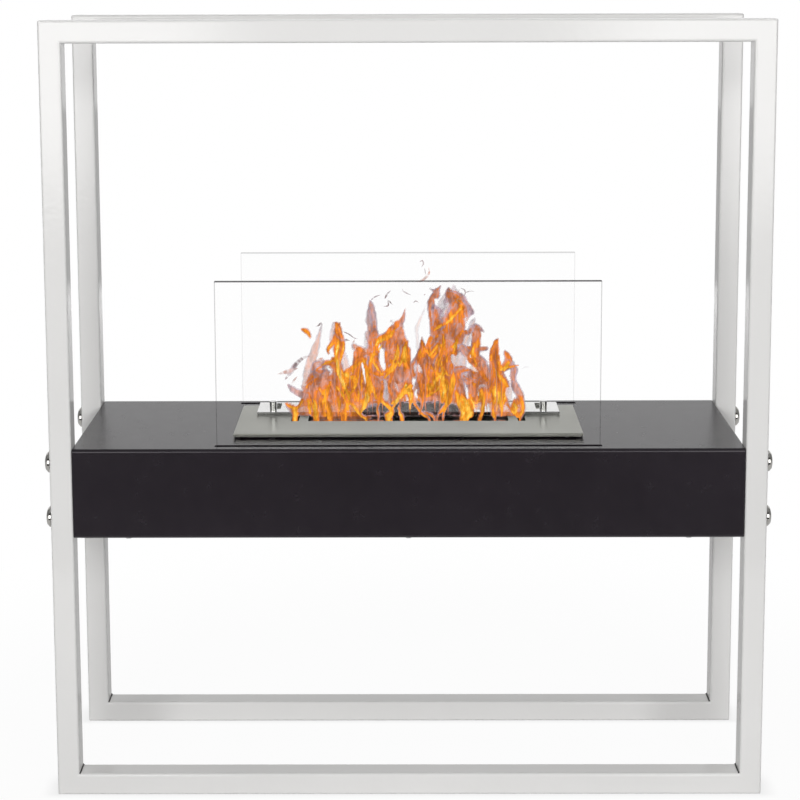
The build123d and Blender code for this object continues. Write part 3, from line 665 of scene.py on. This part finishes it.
THIN_STRANDS = strokes("""\
0 .93 .92  77.3 9.7 1.1  75.9 18 1.3  73.2 23.5 .8
1 .91 .9  -35.5 81.1 1.1  -32.1 85.2 1.3  -30.1 89.3 .8
1 .83 .9  -9.4 63.2 1.1  -13.4 70.1 1.3  -16.1 78.3 .8
0 .85 .9  -63.4 12.7 .8  -56.7 5.8 1.2  -48.6 -2.2 .7
2 .77 .9  -102.1 63.2 .8  -95.3 66.6 1.3  -85.9 70 1.3
1 .83 .9  -35.2 1.4 .8  -36.5 9.7 1.2  -35.1 16.6 .7
""")

# Tongues across the slot: x, height; mm.
ACROSS_TONGUES = ((-112, 52), (-103, 42), (-96, 50), (-86, 60), (-80, 98), (-68, 56), (-57, 74), (-48, 52),
                  (-41, 98), (-30, 46), (-16, 88), (-9, 60), (2, 76), (15, 50), (20, 80), (31, 82), (37, 98),
                  (47, 118), (60, 50), (72, 44), (80, 92), (92, 48), (103, 84), (110, 56))


# ---- flames: how the strokes become meshes -----------------------------------------------

# Lengths are in mm and heights above the plate, but for the plate's own height and ROOT, in metres.
MM = 0.001
plate_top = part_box("burner_cover_plate")[1][2]
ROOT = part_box("fuel_wool")[1][2] + 0.002
ROOT_HEIGHT = (ROOT - plate_top) / MM

# Openings of the plate: half the slot's length, span of an end window, and the depth of both.
SLOT_REACH = 115.0
WINDOW_NEAR, WINDOW_FAR = 129.5, 136.5
SLOT_FRONT, SLOT_REAR = -7.5, 14.5
SLOT_MIDDLE = (SLOT_FRONT + SLOT_REAR) / 2
FOOT_HEIGHT = 12  # up to here the flame keeps to the depth of the openings

# Tongues that start low are led down into the slot or a window.
ROOTED_BELOW, ROOTED_COVER = 3, 0.6
WINDOW_FROM, WINDOW_HALF = 122, 3.0
SLOT_END_ROOM, SUNK, ROOT_SHARE = 6, -3.0, 0.8

# Grid of the sheets, and the edges of the strokes on it.
SHEET_LEFT, SHEET_RIGHT, SHEET_TOP, SHEET_STEP = -158.0, 150.0, 176.0, 1.35
FEATHER, RAGGED = 1.5, 1.3
RIM_REACH = 7.0  # this far inside a stroke its rim ends
BARE_HEAT, FAINTEST = 0.4, 0.02  # heat of the empty grid, least cover that gets a face
SWELL, SWELL_WIDTH, SWELL_HEIGHT = 3.0, 22.0, 34.0

# Streaks along a stroke: size across and along it, offset of the seed; how much each adds or takes.
STREAK_GRAINS = ((5.5, 26.0, 0.0), (2.3, 17.0, 40.0), (4.6, 22.0, 80.0), (5.2, 19.0, 120.0))
FLOW_SWAY = 2.2
FLOW_BROAD, FLOW_STREAK, FLOW_COOL_SHARE = 0.42, 0.30, 0.45
FLOW_LINE, LINE_WIDTH = 0.24, 0.09
FLOW_CREASE, CREASE_WIDTH = 0.34, 0.055
THIN_SHARE, FULL_WIDTH = 0.35, 14.0

# Where a sheet cools towards its top and where its cool foot clears: starts and spans of height or heat.
TOP_COOLING, TOP_RISE = 0.13, (88, 40)
BASE_CLEAR, FOOT_FALL, HOT_FALL, SMOKE_RISE = 0.23, (30, -14), (0.78, -0.25), (-0.1, 0.3)

# A tongue across the slot: share of its lean, share of its height, half width.
ACROSS_OUTLINE = ((0.2, 0.16, 7.6), (-0.5, 0.45, 8.2), (0.6, 0.75, 4.4), (1, 1, 0.2))
ACROSS_COLUMNS, ACROSS_FADE, ACROSS_COOLING = 12, 14.0, 0.18

# Ribbons: width against the table's, and how speckled the smoky ones are.
WISP_WIDTH, RIBBON_COLUMNS = 1.15, 4
SPECKLE, SPECKLE_SIZE, SMOKY = 0.95, 1.9, 0.3


def glide(points, steps_mm):
    """Points along a smooth line through the control points (Catmull-Rom)."""
    padded = [points[0], *points, points[-1]]
    line = []
    for p0, p1, p2, p3 in zip(padded, padded[1:], padded[2:], padded[3:]):
        length = math.hypot(p2[0] - p1[0], p2[1] - p1[1])
        count = max(2, round(length / steps_mm))
        for i in range(count):
            t = i / count
            line.append([0.5 * (2 * b + (c - a) * t + (2 * a - 5 * b + 4 * c - d) * t * t
                                + (3 * b - a - 3 * c + d) * t ** 3) for a, b, c, d in zip(p0, p1, p2, p3)])
    line.append(list(points[-1]))
    return line


def noise_at(*place):
    return noise.noise(Vector(place))


def hold(value, low, high):
    return min(max(value, low), high)


def rise(value, start, span):
    """0 before the start and 1 from a span after it; with a span below zero it falls."""
    return np.clip((value - start) / span, 0, 1)


def in_openings(y, height):
    return hold(y, SLOT_FRONT, SLOT_REAR) if height < FOOT_HEIGHT else y


class Flame:
    """Points and faces of a flame, and the values that its material reads per point."""

    def __init__(self):
        self.verts, self.faces, self.values = [], [], []

    def point(self, x, y, height, warmth, cover, inside):
        self.verts.append((x * MM, y * MM, height * MM + plate_top))
        self.values.append((warmth, cover, inside))

    def join(self, first, columns):
        """Faces over the points from the first one on, which stand in rows of columns + 1."""
        row = columns + 1
        self.faces += [(a, a + 1, a + row + 1, a + row) for start in range(first, len(self.verts) - row, row)
                       for a in range(start, start + columns)]

    def build(self, name):
        """The mesh, standing on the burner."""
        obj = add_object(name, self.verts, self.faces, FLAME)
        for key, column in zip(("warmth", "cover", "inside"), zip(*self.values)):
            obj.data.attributes.new(key, "FLOAT", "POINT").data.foreach_set("value", column)
        obj.data.shade_smooth()
        obj.visible_glossy = obj.visible_diffuse = obj.visible_shadow = False
        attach(obj, "burner")
        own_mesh(obj)


def rooted(points):
    """A tongue that starts at the plate begins deeper, on the wool, inside the slot or a window."""
    x, height, half = points[0]
    if height > ROOTED_BELOW:
        return points
    if abs(x) > WINDOW_FROM:
        x = math.copysign(hold(abs(x), WINDOW_NEAR, WINDOW_FAR), x)
        half = min(half, WINDOW_HALF)
    else:
        x = math.copysign(min(abs(x), SLOT_REACH - min(half, SLOT_END_ROOM)), x)
    return (x, ROOT_HEIGHT, half * ROOT_SHARE), (x, max(height, SUNK), half), *points[1:]


def stroke_places(xs, zs, line):
    """For each point: how far inside the stroke, where across it (-1 to 1) and how far along it."""
    a, b = line[:-1], line[1:]
    run, climb = b[:, 0] - a[:, 0], b[:, 1] - a[:, 1]
    size = np.maximum(run * run + climb * climb, 1e-6)
    to_x, to_z = xs[..., None] - a[:, 0], zs[..., None] - a[:, 1]
    along = np.clip((to_x * run + to_z * climb) / size, 0, 1)
    away = np.hypot(to_x - along * run, to_z - along * climb)
    half = a[:, 2] + (b[:, 2] - a[:, 2]) * along
    nearest = (half - away).argmax(axis=-1)[..., None]
    length = np.sqrt(size)
    walked = np.cumsum(length) - length + along * length
    side = np.sign(to_x * climb - to_z * run)
    level, across, walked = (np.take_along_axis(field, nearest, axis=-1)[..., 0] for field in
                             (half - away, side * away / np.maximum(half, 0.5), walked))
    return level, np.clip(across, -1.2, 1.2), walked


def flow_heat(across, walked, wide, number):
    """Warmer and cooler streaks that run along a stroke and close up at its tip."""
    x = across * wide
    x += FLOW_SWAY * noise_at(x / 8.0, walked / 15.0, number * 3.7)
    broad, streak, line, crease = (noise_at(x / width, walked / length, number * 7.3 + offset)
                                   for width, length, offset in STREAK_GRAINS)
    heat = FLOW_BROAD * broad + FLOW_STREAK * streak
    heat *= 1.0 if heat > 0 else FLOW_COOL_SHARE
    heat += (FLOW_LINE * max(0.0, 1 - abs(line) / LINE_WIDTH)
             - FLOW_CREASE * max(0.0, 1 - abs(crease) / CREASE_WIDTH))
    return heat * min(1.0, THIN_SHARE + wide / FULL_WIDTH)


def corners(field):
    """The field at the four corners of each cell of the grid."""
    return np.stack((field[:-1, :-1], field[1:, :-1], field[:-1, 1:], field[1:, 1:]))


def flame_sheet(name, depth, seed, *layers):
    """Curtain of flame: its strokes are painted one over the other into heat, cover and depth."""
    columns = np.arange(SHEET_LEFT, SHEET_RIGHT, SHEET_STEP)
    rows = np.arange(ROOT_HEIGHT, SHEET_TOP, SHEET_STEP)
    xs, zs = np.meshgrid(columns, rows)
    shake = np.array([[noise_at(x / 5.0, z / 8.0, seed) for x in columns] for z in rows])
    heat, cover = np.full(xs.shape, BARE_HEAT), np.zeros(xs.shape)
    inside, depths = np.zeros(xs.shape), np.full(xs.shape, float(depth))
    for number, (stroke_depth, warmth, opacity, points) in enumerate(
            stroke for layer in layers for stroke in layer):
        line = np.array(glide(rooted(points) if opacity > ROOTED_COVER else points, 2.5))
        line[:, 2] = np.maximum(line[:, 2], 0.1)
        wide = line[:, 2].max()
        reach = wide + FEATHER + RAGGED
        c0, c1 = np.searchsorted(columns, (line[:, 0].min() - reach, line[:, 0].max() + reach))
        r0, r1 = np.searchsorted(rows, (line[:, 1].min() - reach, line[:, 1].max() + reach))
        part = (slice(r0, r1), slice(c0, c1))
        level, across, walked = stroke_places(xs[part], zs[part], line)
        level = level + shake[part] * min(RAGGED, 0.4 * wide)
        mask = np.clip(level / min(FEATHER, 0.55 * wide + 0.2) + 0.5, 0, 1)
        mask = mask * mask * (3 - 2 * mask) * abs(opacity)
        if opacity < 0:
            cover[part] *= 1 - mask
            inside[part] *= 1 - mask
            continue
        total = mask + cover[part] * (1 - mask)
        share = mask / np.maximum(total, 1e-6)
        own = np.full(level.shape, float(warmth))
        for r, c in zip(*np.nonzero(mask)):
            own[r, c] += flow_heat(across[r, c], walked[r, c], wide, number + seed)
        heat[part] += (own - heat[part]) * share
        depths[part] += (stroke_depth - depths[part]) * share
        cover[part] = total
        inside[part] = np.maximum(inside[part], np.clip(level / RIM_REACH, 0, 1))
    heat -= TOP_COOLING * rise(zs, *TOP_RISE)
    see_through = rise(zs, *FOOT_FALL) * rise(heat, *HOT_FALL)
    cover *= 1 - BASE_CLEAR * see_through * rise(heat, *SMOKE_RISE)
    off_middle = np.abs(xs)
    free = (zs >= 1.0) | (off_middle < SLOT_REACH) | ((off_middle > WINDOW_NEAR - 0.5)
                                                      & (off_middle < WINDOW_FAR + 0.5))
    cover[~free] = 0
    cell = corners(cover > FAINTEST).any(axis=0) & corners(free).all(axis=0)
    flame, used = Flame(), {}

    def corner(r, c):
        if (r, c) not in used:
            used[(r, c)] = len(used)
            x, z = xs[r, c], zs[r, c]
            y = depths[r, c] + SWELL * noise_at(x / SWELL_WIDTH, z / SWELL_HEIGHT, seed + 9.0)
            flame.point(x, in_openings(y, z), z, heat[r, c], cover[r, c], inside[r, c])
        return used[(r, c)]

    for r, c in zip(*np.nonzero(cell)):
        flame.faces.append((corner(r, c), corner(r, c + 1), corner(r + 1, c + 1), corner(r + 1, c)))
    flame.build(name)


def flames_across(name, places):
    """Tongues that stand across the slot, so that the flame has depth from the sides."""
    rng = random.Random(71)
    flame = Flame()
    for x, height in places:
        lean, hot = rng.uniform(-3.0, 5.0), rng.uniform(0.30, 0.52)
        line = [(SLOT_MIDDLE, ROOT_HEIGHT, 7.0)]
        line += [(SLOT_MIDDLE + a * lean, b * height, half) for a, b, half in ACROSS_OUTLINE]
        first = len(flame.verts)
        for y, z, half in glide(line, 3.0):
            for j in range(ACROSS_COLUMNS + 1):
                s = 2 * j / ACROSS_COLUMNS - 1
                wave = 1.8 * noise_at(x / 9.0, z / 13.0, 5.0 + s)
                py = y + half * s + (wave if z > FOOT_HEIGHT else 0)
                px = x + 2.5 * noise_at(py / 9.0, z / 18.0, x / 7.0)
                shown = min(max(z - 3, 0) / ACROSS_FADE, 1.0, (height - z) / ACROSS_FADE + 0.15)
                flame.point(px, in_openings(py, z), z, hot - ACROSS_COOLING * max(z, 0) / height,
                            0.80 * (1 - abs(s) ** 4) * shown, max(0.0, half * (1 - abs(s)) / RIM_REACH))
        flame.join(first, ACROSS_COLUMNS)
    flame.build(name)


def ribbon(flame, number, depth, heat, cover, points):
    """Narrow strip along a stroke that is finer than the sheets' grid."""
    rng = random.Random(number)
    line = glide(points, 2.0)
    first = len(flame.verts)
    bend, phase = rng.uniform(0.1, 0.3) * rng.choice((-1, 1)), rng.uniform(0, 6.28)
    for i, (x, height, half) in enumerate(line):
        p, q = line[max(i - 1, 0)], line[min(i + 1, len(line) - 1)]
        size = math.hypot(q[0] - p[0], q[1] - p[1]) or 1.0
        side_x, side_z = (q[1] - p[1]) / size, (p[0] - q[0]) / size
        end = min(i, len(line) - 1 - i) / 2
        half = max(half * WISP_WIDTH, 0.1) * min(1.0, 0.15 + end)
        speck = 1.0
        if heat < SMOKY:
            grain = noise_at(x / SPECKLE_SIZE, height / SPECKLE_SIZE, 4.5)
            speck = hold(0.80 + SPECKLE * grain, 0.2, 1.0)
        for j in range(RIBBON_COLUMNS + 1):
            s = 2 * j / RIBBON_COLUMNS - 1
            y = depth + bend * half * s * s + 1.6 * math.sin(height * 0.06 + phase)
            opaque = cover * speck * (1 - 0.75 * abs(s) ** 3)
            flame.point(x + side_x * half * s, y, height + side_z * half * s, heat, opaque,
                        min(1.0, half * (1 - abs(s)) / RIM_REACH + 0.25))
    flame.join(first, RIBBON_COLUMNS)


def flame_ribbons(name, seed, table):
    """One ribbon per stroke, in five depths that lie a little apart."""
    flame = Flame()
    for index, (depth, heat, cover, points) in enumerate(table):
        ribbon(flame, seed + index, depth + 0.35 * (index % 5), heat, cover, points)
    flame.build(name)


FLAME = flame_material()
flame_sheet("flames_pale", 12, 3.0, PALE_TONGUES)
flame_sheet("flames_rear", 8, 11.0, CONNECTING_BODIES, HOLES, SEE_THROUGH_BASE_AND_PAINTED_SHADE, THREADS)
flame_sheet("flames_body", 5, 23.0, BODIES, COOL_PATCHES, HOLES, SEE_THROUGH_BASE_AND_PAINTED_SHADE, THREADS)
flames_across("flames_across", ACROSS_TONGUES)
flame_ribbons("flames_wisps", 301, WISPS)
flame_ribbons("flames_strands", 501, THIN_STRANDS)


# ---- floor, world and lamps --------------------------------------------------------------

# Floor: where it begins and ends, how white it looks near the object and in gloss; metres.
FLOOR_NEAR, FLOOR_FAR, FLOOR_SIDE, FLOOR_Z = -0.8, 9.0, 7.0, -0.0005
FLOOR_NEAR_WHITE, FLOOR_IN_GLOSS, WHITE_FROM, WHITE_AT = 0.96, 0.50, 0.42, 1.02
# Shade under a bottom rail: its strength, the rails' Y, and how it ends beside, before and behind a rail.
FOOT_SHADE, RAIL_PLACES = 0.17, (-0.0925, 0.0925)
SHADE_SIDE, SHADE_FRONT, SHADE_REAR = (0.400, 0.424), (-0.020, -0.008), (0.012, 0.048)

# Strengths of the world: diffuse light, room, ceiling, side walls and windows as seen in gloss.
AMBIENT, ROOM_LEVEL, CEILING_LEVEL, SIDE_LEVEL, WINDOW_LEVEL = 0.10, 0.042, 0.40, 0.28, 3.6
# Where each of them fades in or out, as parts of a direction of length 1.
WHITE_REAR, CEILING, SIDE_WALLS, FRONT_WALL = (0.50, 0.80), (0.55, 0.85), (0.60, 0.85), (-0.75, -0.60)
WINDOW_BAR, WINDOW_SILL, WINDOW_HEAD = (0.07, 0.16), (-0.17, -0.10), (0.35, 0.50)


def floor():
    """Pale floor that turns to plain white away from the object."""
    mat, tree = new_material("floor")
    away = tree.nodes.new("ShaderNodeVectorMath")
    away.operation = "LENGTH"
    fill(tree, away, object_coords(tree, (1, 1.3, 0)))
    share = fade(tree, away.outputs["Value"], FLOOR_NEAR_WHITE, 1.0, WHITE_FROM, WHITE_AT)
    place = add(tree, "SeparateXYZ", object_coords(tree)).outputs
    beside = fade(tree, absolute(tree, place["X"]), 1.0, 0.0, *SHADE_SIDE)
    behind = [times(tree, fade(tree, place["Y"], 0.0, 1.0, *(y + d for d in SHADE_FRONT)),
                    fade(tree, place["Y"], 1.0, 0.0, *(y + d for d in SHADE_REAR))) for y in RAIL_PLACES]
    foot = times(tree, beside, largest(tree, *behind))
    share = minus(tree, share, times(tree, foot, FOOT_SHADE))
    path = add(tree, "LightPath").outputs
    gloss = times(tree, path["Is Glossy Ray"], FLOOR_IN_GLOSS)
    seen = largest(tree, largest(tree, path["Is Camera Ray"], gloss), path["Is Transmission Ray"])
    mixed = mix_shader(tree, times(tree, seen, share), add(tree, "BsdfDiffuse", Color=(0.60, 0.60, 0.60, 1)),
                       add(tree, "Emission"))
    add(tree, "OutputMaterial", Surface=mixed.outputs[0])
    plan = ((-FLOOR_SIDE, FLOOR_NEAR), (FLOOR_SIDE, FLOOR_NEAR), (FLOOR_SIDE, FLOOR_FAR),
            (-FLOOR_SIDE, FLOOR_FAR))
    obj = add_object("floor", [(x, y, FLOOR_Z) for x, y in plan], [(0, 1, 2, 3)], mat)


def world():
    """White for the camera; for gloss a white rear, a dim room in front and two bright windows in it."""
    w = bpy.data.worlds.new("studio")
    scene.world = w
    w.use_nodes = True
    tree = w.node_tree
    tree.nodes.clear()
    direction = add(tree, "SeparateXYZ", add(tree, "TexCoord").outputs["Generated"]).outputs
    ahead, height = direction["Y"], direction["Z"]
    off_middle = absolute(tree, direction["X"])
    back = fade(tree, ahead, ROOM_LEVEL, 1.0, *WHITE_REAR)
    back = largest(tree, back, fade(tree, height, 0.0, CEILING_LEVEL, *CEILING))
    back = largest(tree, back, fade(tree, off_middle, 0.0, SIDE_LEVEL, *SIDE_WALLS))
    window = times(tree, fade(tree, off_middle, 0.0, 1.0, *WINDOW_BAR),
                   fade(tree, ahead, 1.0, 0.0, *FRONT_WALL))
    upright = times(tree, fade(tree, height, 0.0, 1.0, *WINDOW_SILL),
                    fade(tree, height, 1.0, 0.0, *WINDOW_HEAD))
    window = times(tree, window, upright)
    room = plus(tree, back, times(tree, window, WINDOW_LEVEL))
    mirror, light, white = (add(tree, "Background", Color=(1, 1, 1, 1), Strength=strength)
                            for strength in (room, AMBIENT, 1.0))
    path = add(tree, "LightPath").outputs
    seen = largest(tree, path["Is Camera Ray"], path["Is Transmission Ray"])
    unseen = mix_shader(tree, path["Is Glossy Ray"], light, mirror)
    add(tree, "OutputWorld", Surface=mix_shader(tree, seen, unseen, white).outputs[0])


def area(name, place, target, width, height, power):
    """Softbox that lights but is not seen itself."""
    lamp = bpy.data.lights.new(name, "AREA")
    lamp.shape = "RECTANGLE"
    lamp.size, lamp.size_y = width, height
    lamp.energy = power
    obj = bpy.data.objects.new(name, lamp)
    obj.location = place
    obj.rotation_mode = "QUATERNION"
    obj.rotation_quaternion = (Vector(target) - Vector(place)).to_track_quat("-Z", "Y")
    obj.visible_glossy = obj.visible_camera = False
    scene.collection.objects.link(obj)


floor()
world()
area("left_front_softbox", (-0.95, -2.6, 1.35), (0, 0, 0.5), 1.2, 1.2, 40.5)
area("right_front_softbox", (0.95, -2.6, 1.35), (0, 0, 0.5), 1.2, 1.2, 40.5)
area("top_softbox", (0, -0.2, 2.6), (0, 0, 0.4), 2.0, 1.4, 4.5)
area("rear_softbox", (0, 2.9, 0.8), (0, 0, 0.5), 1.0, 1.2, 40)
area("left_softbox", (-1.0, 0, 0.45), (0, 0, 0.45), 0.4, 0.9, 0.35)
area("right_softbox", (1.0, 0, 0.45), (0, 0, 0.45), 0.4, 0.9, 0.35)


# ---- camera ------------------------------------------------------------------------------

# Fitted to the photo: place in metres; pitch, yaw and roll in degrees; lens and sensor in mm.
CAMERA_PLACE, CAMERA_TURN = (-0.0007, -1.8999, 0.9403), (-6.607, -0.244, -0.17)
LENS, SENSOR_WIDTH, SHIFT_Y = 74.76, 36.0, -0.3054


def camera():
    cam = bpy.data.cameras.new("camera")
    obj = bpy.data.objects.new("camera", cam)
    scene.collection.objects.link(obj)
    cam.sensor_width = SENSOR_WIDTH
    cam.lens = LENS
    cam.shift_y = SHIFT_Y
    cam.clip_start = 0.05
    pitch, yaw, roll = (math.radians(angle) for angle in CAMERA_TURN)
    ahead = Vector((math.sin(yaw) * math.cos(pitch), math.cos(yaw) * math.cos(pitch), math.sin(pitch)))
    level = Vector((math.cos(yaw), -math.sin(yaw), 0))
    upright = level.cross(ahead)
    right = level * math.cos(roll) + upright * math.sin(roll)
    up = upright * math.cos(roll) - level * math.sin(roll)
    turn = Matrix((right, up, -ahead)).transposed().to_4x4()
    obj.matrix_world = Matrix.Translation(CAMERA_PLACE) @ turn
    scene.camera = obj


camera()
scene.view_settings.view_transform = "Standard"
scene.cycles.transparent_max_bounces = 40
